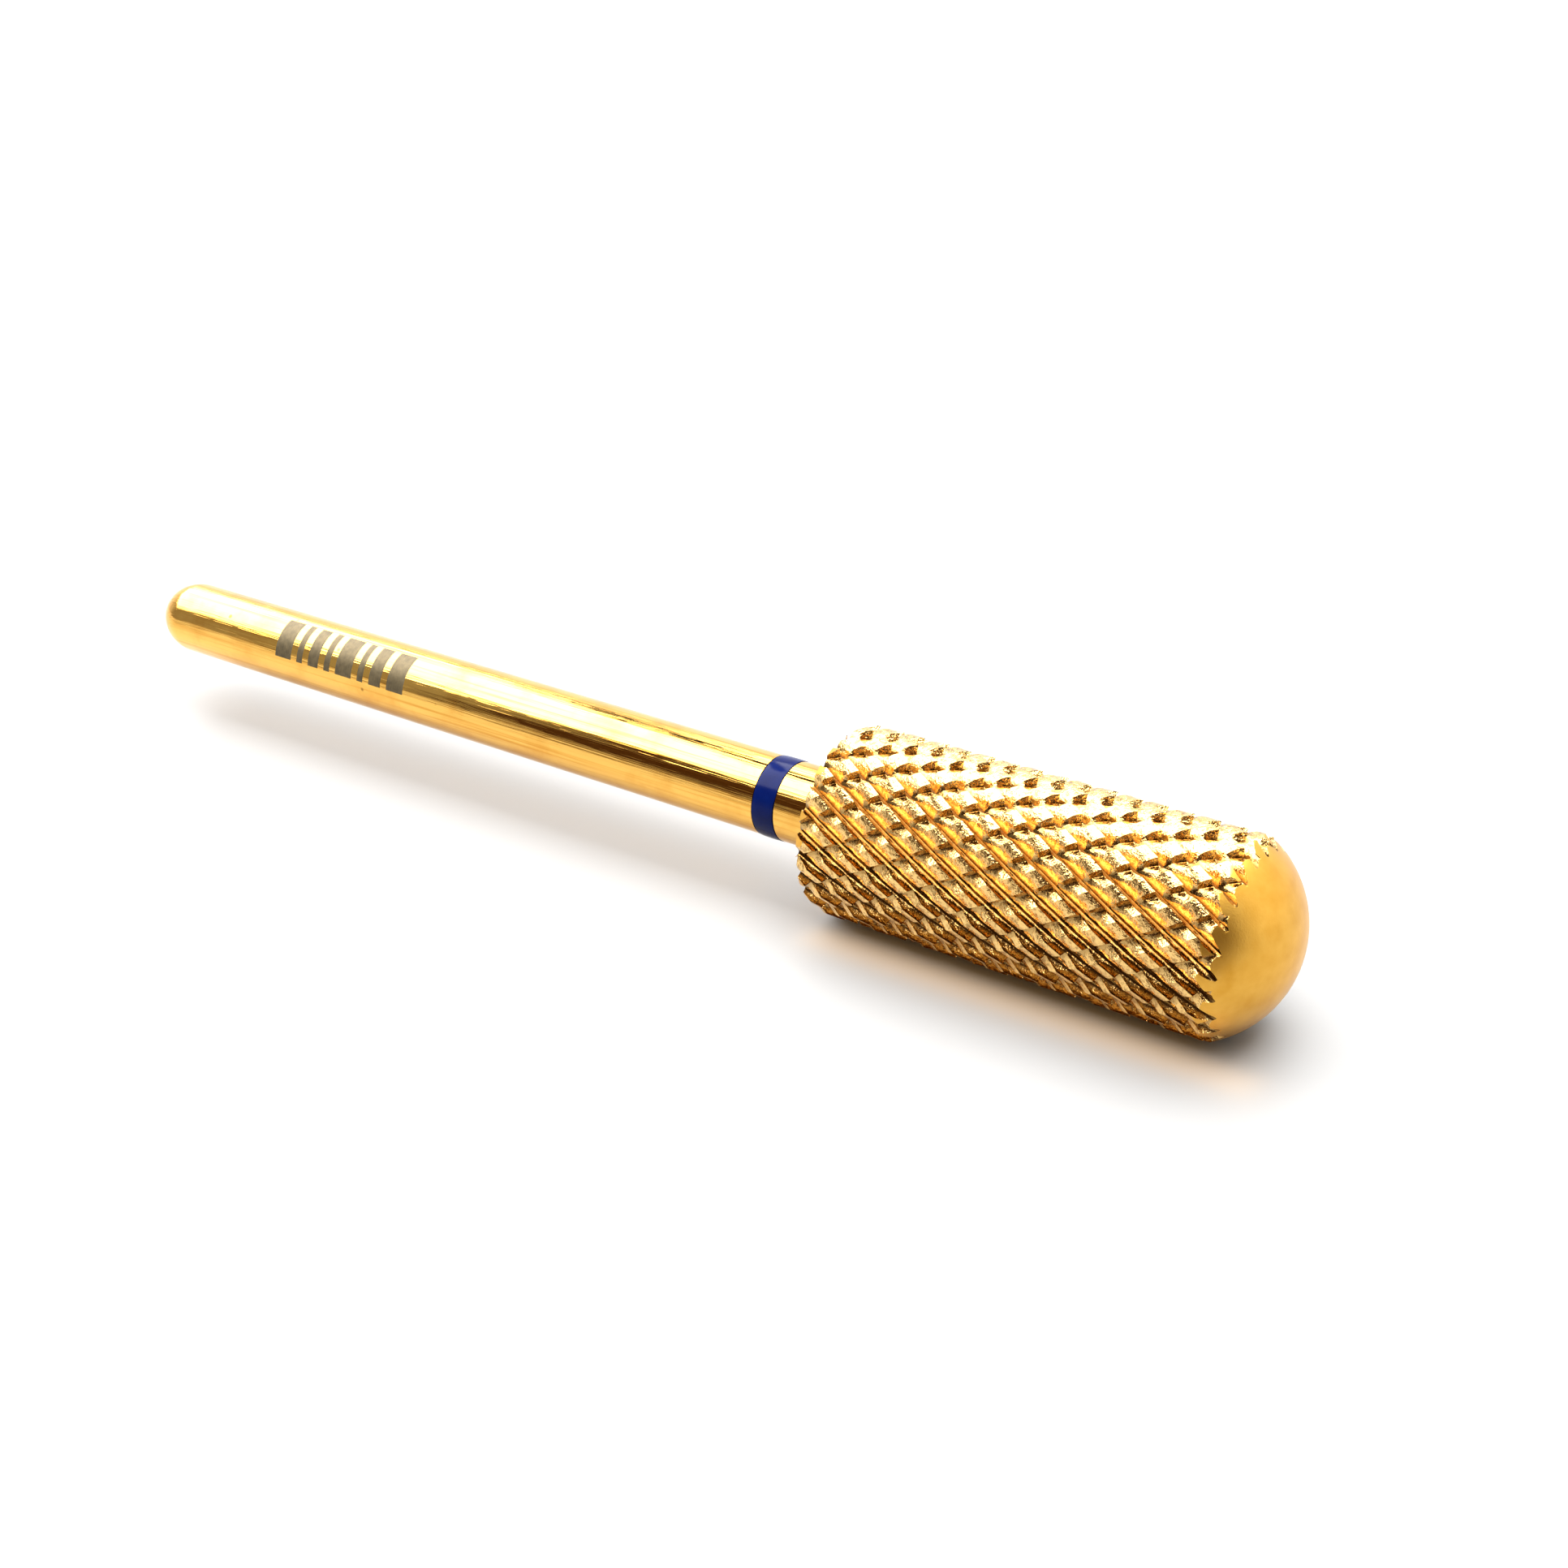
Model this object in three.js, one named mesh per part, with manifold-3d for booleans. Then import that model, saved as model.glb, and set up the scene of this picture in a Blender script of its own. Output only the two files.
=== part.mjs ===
// Cross-cut carbide rotary bit on a 2.35 mm shank, in millimetres.
// The tool's axis is X: the centre of the shank's flat tail face is the origin and the dome points to +X.
// The bit lies on its head with its axis level, so +Z is up.

import * as THREE from 'three';
import { mergeVertices } from 'three/addons/utils/BufferGeometryUtils.js';
import Module from 'manifold-3d';

// Driving dimensions
const OVERALL_LENGTH = 40.5;
const SHANK_DIAMETER = 2.35;
const TAIL_FACE_DIAMETER = 1.46;
const TAIL_ROUNDING_LENGTH = 1.05;

const HEAD_DIAMETER = 5.46;
const HEAD_LENGTH = 13.3;
const DOME_HEIGHT = 1.64; // from the end of the tooth tips to the apex
const REAR_CHAMFER_LENGTH = 0.3;
const REAR_CHAMFER_DEPTH = 0.16;

const FLUTE_COUNT = 24;
const FLUTE_LEAD = 30;
const FLUTE_DEPTH = 0.33;
const CROSS_CUT_COUNT = 16;
const CROSS_CUT_LEAD = 27.6;
const CROSS_CUT_DEPTH = 0.26;
const FIRST_FLUTE_ANGLE = 0; // degrees at the rear face, from +Y towards +Z
const FIRST_CROSS_CUT_ANGLE = 2.9; // degrees at the rear face, onwards from the first flute

// One tooth across each helix family: [place from groove to groove, share of the full height]
const FLUTE_PROFILE = [[0, 0], [0.22, 1], [0.6, 0.86]];
const CROSS_CUT_PROFILE = [[0, 0], [0.18, 1], [0.82, 1]];

const NECK_LENGTH = 1.7;
const BAND_WIDTH = 0.75;
const BAND_GROOVE_DEPTH = 0.12;
const BAND_PROUD = 0.02;

const SPIGOT_DIAMETER = 1.6;
const SPIGOT_LENGTH = 3.2;
const BRAZE_THICKNESS = 0.12;
const FIT_CLEARANCE = 0.02; // between neighbours that are bonded face to face on the real tool

// Fineness of the faceting
const ROUND_SEGMENTS = 48;
const CORNER_STEPS = 6;
const DOME_STEPS = 9;
const ROD_OVERRUN = 0.6; // the toothed rod runs this far past the blank
const BLANK_ALLOWANCE = 0.05; // the blank's barrel is this much larger in radius than the finished head

// Places along the axis, and radii, that follow from the driving dimensions
const HEAD_REAR = OVERALL_LENGTH - HEAD_LENGTH;
const BAND_END = HEAD_REAR - NECK_LENGTH;
const BAND_START = BAND_END - BAND_WIDTH;
const SHANK_RADIUS = SHANK_DIAMETER / 2;
const HEAD_RADIUS = HEAD_DIAMETER / 2;
const SPIGOT_RADIUS = SPIGOT_DIAMETER / 2;
const GROOVE_RADIUS = SHANK_RADIUS - BAND_GROOVE_DEPTH;
const SOCKET_RADIUS = SPIGOT_RADIUS + BRAZE_THICKNESS + 2 * FIT_CLEARANCE;
const SHOULDER = HEAD_REAR - FIT_CLEARANCE; // where the shank's full diameter stops, at the head's rear face
const SPIGOT_END = SHOULDER + SPIGOT_LENGTH;
const SOCKET_END = SPIGOT_END + BRAZE_THICKNESS + 2 * FIT_CLEARANCE;
const DOME_SPHERE_RADIUS = (HEAD_RADIUS ** 2 + DOME_HEIGHT ** 2) / (2 * DOME_HEIGHT);
const DOME_CENTRE = OVERALL_LENGTH - DOME_SPHERE_RADIUS;

// Colours and finishes
const goldPolished = new THREE.MeshStandardMaterial({ color: 0xe2b34c, metalness: 1, roughness: 0.16 });
const goldGround = new THREE.MeshStandardMaterial({ color: 0xd9a441, metalness: 1, roughness: 0.3 });
const blueEnamel = new THREE.MeshStandardMaterial({ color: 0x14287a, metalness: 0, roughness: 0.12 });
const silverBraze = new THREE.MeshStandardMaterial({ color: 0xc9b27a, metalness: 1, roughness: 0.4 });

const wasm = await Module();
wasm.setup();

// A solid of revolution about X from a profile of [x, radius] points. The profile runs from the axis at the
// tail side, over the outside, to the axis at the dome side, or closes on itself for a ring.
function turned(profile) {
  const points = profile.map(([x, radius]) => new THREE.Vector2(radius, x));
  const geometry = new THREE.LatheGeometry(points, ROUND_SEGMENTS);
  geometry.rotateZ(-Math.PI / 2);
  return geometry;
}

// Points of a quarter-round corner from [x0, r0] to [x1, r1]: it leaves square to the axis and arrives along it.
function roundedCorner(x0, r0, x1, r1) {
  const points = [];
  for (let i = 0; i <= CORNER_STEPS; i++) {
    const angle = (i / CORNER_STEPS) * (Math.PI / 2);
    points.push([x1 + (x0 - x1) * Math.cos(angle), r0 + (r1 - r0) * Math.sin(angle)]);
  }
  return points;
}

// A closed geometry as a manifold solid, welded by position only.
function toSolid(geometry) {
  const bare = geometry.clone();
  bare.deleteAttribute('normal');
  bare.deleteAttribute('uv');
  const welded = mergeVertices(bare, 1e-5);
  return new wasm.Manifold(new wasm.Mesh({
    numProp: 3,
    vertProperties: new Float32Array(welded.attributes.position.array),
    triVerts: new Uint32Array(welded.index.array),
  }));
}

// A manifold solid back as a three.js geometry.
function toGeometry(solid) {
  const mesh = solid.getMesh();
  const geometry = new THREE.BufferGeometry();
  geometry.setAttribute('position', new THREE.BufferAttribute(mesh.vertProperties, 3));
  geometry.setIndex(new THREE.BufferAttribute(mesh.triVerts, 1));
  geometry.computeVertexNormals();
  return geometry;
}

function named(name, geometry, material) {
  const mesh = new THREE.Mesh(geometry, material);
  mesh.name = name;
  return mesh;
}

// Steel pin: flat tail face, rounded tail, ring groove, neck, and the spigot inside the head.
function makeShank() {
  return turned([
    [0, 0],
    ...roundedCorner(0, TAIL_FACE_DIAMETER / 2, TAIL_ROUNDING_LENGTH, SHANK_RADIUS),
    [BAND_START, SHANK_RADIUS],
    [BAND_START, GROOVE_RADIUS],
    [BAND_END, GROOVE_RADIUS],
    [BAND_END, SHANK_RADIUS],
    [SHOULDER, SHANK_RADIUS],
    [SHOULDER, SPIGOT_RADIUS],
    [SPIGOT_END, SPIGOT_RADIUS],
    [SPIGOT_END, 0],
  ]);
}

// Enamel ring that fills the groove and stands slightly proud.
function makeGritBand() {
  const start = BAND_START + FIT_CLEARANCE;
  const end = BAND_END - FIT_CLEARANCE;
  const inner = GROOVE_RADIUS + FIT_CLEARANCE;
  const outer = SHANK_RADIUS + BAND_PROUD;
  const edge = BAND_PROUD;
  return turned([
    [start, inner],
    [start, outer - edge],
    [start + edge, outer],
    [end - edge, outer],
    [end, outer - edge],
    [end, inner],
    [start, inner],
  ]);
}

// Braze cup between spigot and socket: sleeve and closed end.
function makeBrazeJoint() {
  const inner = SPIGOT_RADIUS + FIT_CLEARANCE;
  const outer = inner + BRAZE_THICKNESS;
  const mouth = HEAD_REAR + FIT_CLEARANCE;
  const floor = SPIGOT_END + FIT_CLEARANCE;
  return turned([
    [floor, 0],
    [floor, inner],
    [mouth, inner],
    [mouth, outer],
    [floor + BRAZE_THICKNESS, outer],
    [floor + BRAZE_THICKNESS, 0],
  ]);
}

// The head's blank: chamfered rear rim, dome and blind socket. Its barrel stands outside the tooth tips, so
// that only the teeth shape the barrel.
function makeHeadBlank() {
  const barrel = HEAD_RADIUS + BLANK_ALLOWANCE;
  const chamferSlope = REAR_CHAMFER_LENGTH / REAR_CHAMFER_DEPTH;
  const domeStart = Math.acos(Math.min(1, barrel / DOME_SPHERE_RADIUS));
  const dome = [];
  for (let i = 0; i < DOME_STEPS; i++) {
    const angle = domeStart + (i / DOME_STEPS) * (Math.PI / 2 - domeStart);
    dome.push([DOME_CENTRE + DOME_SPHERE_RADIUS * Math.sin(angle), DOME_SPHERE_RADIUS * Math.cos(angle)]);
  }
  return turned([
    [SOCKET_END, 0],
    [SOCKET_END, SOCKET_RADIUS],
    [HEAD_REAR, SOCKET_RADIUS],
    [HEAD_REAR, HEAD_RADIUS - REAR_CHAMFER_DEPTH],
    [HEAD_REAR + REAR_CHAMFER_LENGTH + BLANK_ALLOWANCE * chamferSlope, barrel],
    ...dome,
    [OVERALL_LENGTH, 0],
  ]);
}

// One vertex of the toothed skin. row counts the points of FLUTE_PROFILE flute after flute round the head,
// and line counts the points of CROSS_CUT_PROFILE groove after groove.
function toothPoint(row, line) {
  const [flutePlace, fluteHeight] = FLUTE_PROFILE[modulo(row, FLUTE_PROFILE.length)];
  const [crossPlace, crossHeight] = CROSS_CUT_PROFILE[modulo(line, CROSS_CUT_PROFILE.length)];
  const flute = (Math.floor(row / FLUTE_PROFILE.length) + flutePlace) / FLUTE_COUNT;
  const cross = (Math.floor(line / CROSS_CUT_PROFILE.length) + crossPlace) / CROSS_CUT_COUNT;
  const crossStart = FIRST_CROSS_CUT_ANGLE / 360;
  const x = HEAD_REAR + (cross + crossStart - flute) / (1 / FLUTE_LEAD + 1 / CROSS_CUT_LEAD);
  const turns = FIRST_FLUTE_ANGLE / 360 + flute + (x - HEAD_REAR) / FLUTE_LEAD;
  const angle = 2 * Math.PI * turns;
  const ridge = FLUTE_DEPTH * fluteHeight;
  const groove = FLUTE_DEPTH - CROSS_CUT_DEPTH * (1 - crossHeight);
  const radius = HEAD_RADIUS - FLUTE_DEPTH + Math.min(ridge, groove);
  return new THREE.Vector3(x, radius * Math.cos(angle), radius * Math.sin(angle));
}

function modulo(value, count) {
  return ((value % count) + count) % count;
}

// A rod that carries the teeth of both helix families and runs past the blank at both ends. Its skin is a
// grid along the two families, so every ridge and groove is a line of edges, and a cone closes each end.
function makeToothedRod() {
  const rows = FLUTE_COUNT * FLUTE_PROFILE.length;
  const lines = CROSS_CUT_COUNT * CROSS_CUT_PROFILE.length;
  const first = HEAD_REAR - ROD_OVERRUN;
  const last = OVERALL_LENGTH + ROD_OVERRUN;
  const linesPerLength = lines * (1 / FLUTE_LEAD + 1 / CROSS_CUT_LEAD);
  const positions = [];
  const ids = new Map();
  const triangles = [];

  const vertex = (row, line) => {
    const turns = Math.floor(row / rows);
    const key = `${row - turns * rows},${line - turns * lines}`;
    if (!ids.has(key)) {
      ids.set(key, positions.length / 3);
      positions.push(...toothPoint(row - turns * rows, line - turns * lines).toArray());
    }
    return ids.get(key);
  };

  for (let row = 0; row < rows; row++) {
    const shift = Math.round((row * lines) / rows);
    const lowest = shift + Math.floor((first - HEAD_REAR) * linesPerLength);
    const highest = shift + Math.ceil((last - HEAD_REAR) * linesPerLength);
    for (let line = lowest; line < highest; line++) {
      const corners = [vertex(row, line), vertex(row + 1, line), vertex(row + 1, line + 1), vertex(row, line + 1)];
      triangles.push([corners[0], corners[1], corners[2]], [corners[0], corners[2], corners[3]]);
    }
  }
  closeEnds(positions, triangles, (first + last) / 2);

  const geometry = new THREE.BufferGeometry();
  geometry.setAttribute('position', new THREE.BufferAttribute(new Float32Array(positions), 3));
  geometry.setIndex(triangles.flat());
  return geometry;
}

// Closes a tube along X: every open edge gets a triangle to a point on the axis beyond its own end.
function closeEnds(positions, triangles, middle) {
  const xs = positions.filter((_, index) => index % 3 === 0);
  const tailTip = positions.length / 3;
  const domeTip = tailTip + 1;
  positions.push(Math.min(...xs), 0, 0, Math.max(...xs), 0, 0);
  const edges = new Set(triangles.flatMap(([a, b, c]) => [`${a},${b}`, `${b},${c}`, `${c},${a}`]));
  for (const edge of edges) {
    const [from, to] = edge.split(',').map(Number);
    if (!edges.has(`${to},${from}`)) {
      triangles.push([to, from, xs[from] < middle ? tailTip : domeTip]);
    }
  }
}

// Carbide head: the blank, kept only where it lies inside the toothed rod.
function makeCutterHead() {
  const blank = toSolid(makeHeadBlank());
  const rod = toSolid(makeToothedRod());
  return toGeometry(rod.intersect(blank));
}

const bit = new THREE.Group();
bit.add(
  named('shank', makeShank(), goldPolished),
  named('grit_band', makeGritBand(), blueEnamel),
  named('braze_joint', makeBrazeJoint(), silverBraze),
  named('cutter_head', makeCutterHead(), goldGround),
);

export default bit;
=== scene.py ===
"""Gold-coated carbide rotary bit with cross-cut teeth, a satin dome and a blue colour ring.

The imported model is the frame: each class below takes its sizes from the CAD nodes' boxes, models its piece in
millimetres and hands it over in metres.
"""
import logging
import math
from dataclasses import dataclass, field
from enum import Enum

import bpy
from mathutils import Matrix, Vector


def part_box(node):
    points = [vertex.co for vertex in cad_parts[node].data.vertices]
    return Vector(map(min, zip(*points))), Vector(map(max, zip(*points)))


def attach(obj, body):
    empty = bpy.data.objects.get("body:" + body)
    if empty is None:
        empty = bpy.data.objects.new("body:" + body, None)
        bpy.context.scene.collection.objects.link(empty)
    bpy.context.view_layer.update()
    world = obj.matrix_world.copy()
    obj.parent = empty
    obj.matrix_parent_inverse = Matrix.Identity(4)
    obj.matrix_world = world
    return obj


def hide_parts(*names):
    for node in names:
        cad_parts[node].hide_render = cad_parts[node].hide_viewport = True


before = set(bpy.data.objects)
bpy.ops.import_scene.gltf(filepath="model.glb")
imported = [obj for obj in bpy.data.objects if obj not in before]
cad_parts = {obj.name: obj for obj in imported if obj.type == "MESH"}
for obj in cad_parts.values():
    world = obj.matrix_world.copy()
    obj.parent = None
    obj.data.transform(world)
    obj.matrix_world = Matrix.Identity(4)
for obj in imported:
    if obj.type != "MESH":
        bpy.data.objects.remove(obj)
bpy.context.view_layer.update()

log = logging.getLogger("rotary_bit")

MM = 0.001
ROOT = "root"  # the bit's one body
SEAM_GAP = 0.0004  # mm; corners nearer to each other than this are one corner
NEAR = 0.001  # two shares or places closer than this count as the same


class Axis(Enum):
    """The directions that profiles are turned about: along the bit, and straight up."""

    X = (1.0, 0.0, 0.0)
    Z = (0.0, 0.0, 1.0)


class Slot(Enum):
    """The record's material slots."""

    STEEL = "coated_steel"
    ENAMEL = "blue_enamel"
    CARBIDE = "coated_carbide"
    BRAZE = "silver_braze"


@dataclass(frozen=True)
class Span:
    """A round CAD node: where it starts and ends along the axis, and its outer radius, in millimetres."""

    start: float
    end: float
    radius: float

    @classmethod
    def of(cls, node: str) -> "Span":
        """Reads a node's span from its box.

        Args:
            node: the CAD node's name.

        Returns:
            The node's span.
        """
        low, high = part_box(node)
        return cls(low.x / MM, high.x / MM, high.z / MM)


SHANK = Span.of("shank")
RING = Span.of("grit_band")
HEAD = Span.of("cutter_head")
BRAZE = Span.of("braze_joint")


# Modelling helpers


def start_fresh() -> None:
    """Leaves edit mode and deselects every object."""
    if bpy.context.object and bpy.context.object.mode != "OBJECT":
        bpy.ops.object.mode_set(mode="OBJECT")
    bpy.ops.object.select_all(action="DESELECT")


def pick(piece: bpy.types.Object) -> None:
    """Makes one object the only selected and active one.

    Args:
        piece: the object.
    """
    start_fresh()
    piece.select_set(True)
    bpy.context.view_layer.objects.active = piece


def select_corners(piece: bpy.types.Object, chosen: set[int]) -> None:
    """Selects corners by number, and stays in edit mode on them.

    Args:
        piece: the object.
        chosen: the numbers of the corners.
    """
    pick(piece)
    bpy.ops.object.mode_set(mode="EDIT")
    bpy.ops.mesh.select_mode(type="VERT")
    bpy.ops.mesh.select_all(action="DESELECT")
    bpy.ops.object.mode_set(mode="OBJECT")
    for vertex in piece.data.vertices:
        vertex.select = vertex.index in chosen
    bpy.ops.object.mode_set(mode="EDIT")


def draw_outline(name: str, points: list[Vector]) -> bpy.types.Object:
    """Draws an open outline by extruding one corner from point to point.

    Args:
        name: the new object's name.
        points: the outline's points in order.

    Returns:
        An object of joined edges, in edit mode with all of it selected.
    """
    start_fresh()
    bpy.ops.mesh.primitive_plane_add(size=1, location=(0, 0, 0))
    piece = bpy.context.object
    piece.name = piece.data.name = name
    bpy.ops.object.mode_set(mode="EDIT")
    bpy.ops.mesh.select_all(action="SELECT")
    bpy.ops.mesh.merge(type="CENTER")
    bpy.ops.transform.translate(value=points[0])
    for before, after in zip(points, points[1:]):
        bpy.ops.mesh.extrude_region_move(TRANSFORM_OT_translate={"value": after - before})
    bpy.ops.mesh.select_all(action="SELECT")
    return piece


def turn(name: str, profile: list[tuple[float, float]], steps: int) -> bpy.types.Object:
    """Turns a profile about the bit's axis, as on a lathe.

    Args:
        name: the new object's name.
        profile: (place along the axis, radius) points; it starts and ends on the axis or closes on itself.
        steps: the number of flats round the piece.

    Returns:
        The closed round piece, in millimetres.
    """
    piece = draw_outline(name, [Vector((x, -radius, 0)) for x, radius in profile])
    bpy.ops.mesh.spin(steps=steps, angle=math.tau, center=(0, 0, 0), axis=Axis.X.value, use_auto_merge=True)
    bpy.ops.mesh.select_all(action="SELECT")
    bpy.ops.mesh.remove_doubles(threshold=SEAM_GAP)
    bpy.ops.mesh.normals_make_consistent(inside=False)
    bpy.ops.object.mode_set(mode="OBJECT")
    return piece


def arc(start: tuple[float, float], end: tuple[float, float], slant: float,
        steps: int) -> list[tuple[float, float]]:
    """Part of an ellipse that leaves start with a slant, so the edge there shows, and ends along the axis.

    Args:
        start: (place, radius) of the first point.
        end: (place, radius) of the last point.
        slant: where on the ellipse it starts, as an angle in radians.
        steps: the number of flats.

    Returns:
        The points, both ends among them.
    """
    points = []
    for i in range(steps + 1):
        angle = slant + (math.pi / 2 - slant) * i / steps
        back = math.cos(angle) / math.cos(slant)
        out = (math.sin(angle) - math.sin(slant)) / (1 - math.sin(slant))
        points.append((end[0] + (start[0] - end[0]) * back, start[1] + (end[1] - start[1]) * out))
    return points


def modify(piece: bpy.types.Object, kind: str, **settings: object) -> None:
    """Adds a modifier and applies it.

    Args:
        piece: the object.
        kind: the modifier's type.
        **settings: its settings.
    """
    pick(piece)
    modifier = piece.modifiers.new(kind.lower(), kind)
    for name, value in settings.items():
        setattr(modifier, name, value)
    bpy.ops.object.modifier_apply(modifier=modifier.name)


def hand_over(piece: bpy.types.Object, slot: Slot, *nodes: str, crease: float = 40) -> None:
    """Brings a finished piece from millimetres to metres and ties it to the frame.

    Args:
        piece: the object, modelled in millimetres.
        slot: the record's material slot; not used.
        *nodes: the CAD nodes it stands for.
        crease: the angle in degrees above which an edge stays sharp.
    """
    pick(piece)
    piece.scale = (MM, MM, MM)
    bpy.ops.object.transform_apply(location=True, rotation=True, scale=True)
    bpy.ops.object.shade_smooth_by_angle(angle=math.radians(crease))
    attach(piece, ROOT)
    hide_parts(*nodes)


# Material helpers


def shade(code: str) -> tuple[float, float, float, float]:
    """Turns an sRGB hex colour to linear values.

    Args:
        code: the colour as #RRGGBB.

    Returns:
        Linear red, green and blue, and an alpha of 1.
    """
    parts = [int(code[i:i + 2], 16) / 255 for i in (1, 3, 5)]
    linear = [c / 12.92 if c <= 0.04045 else ((c + 0.055) / 1.055) ** 2.4 for c in parts]
    return (*linear, 1.0)


def per_mm(size: float) -> float:
    """The texture scale whose features are size millimetres across."""
    return 1 / (size * MM)


def add_node(tree: bpy.types.NodeTree, kind: str, settings: dict | None = None,
             links: dict | None = None) -> bpy.types.Node:
    """Adds a node with its settings and links.

    Args:
        tree: the node tree.
        kind: the node's type.
        settings: values by the name or number of an input, or by the name of a property.
        links: output sockets by the name or number of the input that they go to.

    Returns:
        The node.
    """
    node = tree.nodes.new(kind)
    for name, value in (settings or {}).items():
        if isinstance(name, int) or name in node.inputs:
            node.inputs[name].default_value = value
        else:
            setattr(node, name, value)
    for name, socket in (links or {}).items():
        tree.links.new(socket, node.inputs[name])
    return node


def new_material(name: str) -> tuple[bpy.types.Material, bpy.types.NodeTree]:
    """An empty node material and its tree.

    Args:
        name: the material's name.

    Returns:
        The material and its node tree.
    """
    material = bpy.data.materials.new(name)
    material.use_nodes = True
    material.node_tree.nodes.clear()
    return material, material.node_tree


def close_material(tree: bpy.types.NodeTree, surface: bpy.types.Node) -> None:
    """Sends a shader to the material's output."""
    add_node(tree, "ShaderNodeOutputMaterial", links={"Surface": surface.outputs[0]})


def radius_share(tree: bpy.types.NodeTree, low: float, high: float) -> bpy.types.Node:
    """How far out from the bit's axis a point lies, from 0 at one radius to 1 at another.

    Args:
        tree: the node tree.
        low: the radius in millimetres that gives 0.
        high: the radius in millimetres that gives 1.

    Returns:
        A node whose first output is the share.
    """
    place = add_node(tree, "ShaderNodeTexCoord")
    flat = add_node(tree, "ShaderNodeVectorMath", {"operation": "MULTIPLY", 1: (0, 1, 1)},
                    {0: place.outputs["Object"]})
    length = add_node(tree, "ShaderNodeVectorMath", {"operation": "LENGTH"}, {0: flat.outputs[0]})
    return add_node(tree, "ShaderNodeMapRange", {"From Min": low * MM, "From Max": high * MM},
                    {"Value": length.outputs["Value"]})


@dataclass(frozen=True)
class PolishedCoatedSteel:
    """Centreless-ground steel under a gold-coloured nitride coating, as on a shank.

    It gives the eye a mirror with fine grinding lines along the axis, a faintly mottled gold and a few pits.
    """

    gold: str = "#F2BD5E"
    deeper: str = "#E2A64A"
    line: str = "#CE8F34"
    pit: str = "#7A4A12"
    roughness: float = 0.06
    # Sizes in millimetres
    line_spacing: float = 0.1
    line_length: float = 9.0
    line_depth: float = 0.013
    mottle_size: float = 1.6
    pit_spacing: float = 1.5
    pit_size: float = 0.1
    # How much of the line's and the pit's own colour shows where they are deepest
    line_share: float = 0.8
    pit_share: float = 0.8

    def make(self) -> bpy.types.Material:
        """Builds the material.

        Returns:
            The material.
        """
        material, tree = new_material("gold_nitride_on_ground_steel")
        place = add_node(tree, "ShaderNodeTexCoord")
        stretched = add_node(tree, "ShaderNodeMapping",
                             {"Scale": (self.line_spacing / self.line_length, 1, 1)},
                             {"Vector": place.outputs["Object"]})
        lines = add_node(tree, "ShaderNodeTexNoise",
                         {"Scale": per_mm(self.line_spacing), "Detail": 3.0, "Roughness": 0.65},
                         {"Vector": stretched.outputs[0]})
        bump = add_node(tree, "ShaderNodeBump", {"Strength": 1.0, "Distance": self.line_depth * MM},
                        {"Height": lines.outputs[0]})
        mottle = add_node(tree, "ShaderNodeTexNoise",
                          {"Scale": per_mm(self.mottle_size), "Detail": 5.0, "Roughness": 0.6},
                          {"Vector": place.outputs["Object"]})
        patches = add_node(tree, "ShaderNodeMapRange", {"From Min": 0.5, "From Max": 0.72},
                           {"Value": mottle.outputs[0]})
        cast = add_node(tree, "ShaderNodeMix",
                        {"data_type": "RGBA", 6: shade(self.gold), 7: shade(self.deeper)},
                        {0: patches.outputs[0]})
        drawn = add_node(tree, "ShaderNodeMapRange",
                         {"From Min": 0.5, "From Max": 0.7, "To Max": self.line_share},
                         {"Value": lines.outputs[0]})
        lined = add_node(tree, "ShaderNodeMix", {"data_type": "RGBA", 7: shade(self.line)},
                         {0: drawn.outputs[0], 6: cast.outputs[2]})
        cells = add_node(tree, "ShaderNodeTexVoronoi", {"Scale": per_mm(self.pit_spacing)},
                         {"Vector": place.outputs["Object"]})
        reach = self.pit_size / self.pit_spacing
        pits = add_node(tree, "ShaderNodeMapRange",
                        {"From Min": reach, "From Max": reach * 0.6, "To Max": self.pit_share},
                        {"Value": cells.outputs["Distance"]})
        colour = add_node(tree, "ShaderNodeMix", {"data_type": "RGBA", 7: shade(self.pit)},
                          {0: pits.outputs[0], 6: lined.outputs[2]})
        metal = add_node(tree, "ShaderNodeBsdfPrincipled", {"Metallic": 1.0, "Roughness": self.roughness},
                         {"Base Color": colour.outputs[2], "Normal": bump.outputs[0]})
        close_material(tree, metal)
        return material


@dataclass(frozen=True)
class LaserDarkenedSteel:
    """Laser-annealed marking on coated steel: dull grey-brown, with the beam's fine hatching."""

    light: str = "#6E6044"
    dark: str = "#3E3626"
    roughness: float = 0.5
    metallic: float = 0.7
    hatch: float = 0.05  # mm; coarser than a real beam's lines, which would not show
    hatch_depth: float = 0.004

    def make(self) -> bpy.types.Material:
        """Builds the material.

        Returns:
            The material.
        """
        material, tree = new_material("laser_darkened_steel")
        place = add_node(tree, "ShaderNodeTexCoord")
        wear = add_node(tree, "ShaderNodeTexNoise", {"Scale": per_mm(self.hatch * 3), "Detail": 4.0},
                        {"Vector": place.outputs["Object"]})
        tone = add_node(tree, "ShaderNodeMix",
                        {"data_type": "RGBA", 6: shade(self.light), 7: shade(self.dark)},
                        {0: wear.outputs[0]})
        hatch = add_node(tree, "ShaderNodeTexWave", {"Scale": per_mm(self.hatch) / math.tau},
                         {"Vector": place.outputs["Object"]})
        bump = add_node(tree, "ShaderNodeBump", {"Strength": 0.5, "Distance": self.hatch_depth * MM},
                        {"Height": hatch.outputs[1]})
        metal = add_node(tree, "ShaderNodeBsdfPrincipled",
                         {"Metallic": self.metallic, "Roughness": self.roughness},
                         {"Base Color": tone.outputs[2], "Normal": bump.outputs[0]})
        close_material(tree, metal)
        return material


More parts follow.
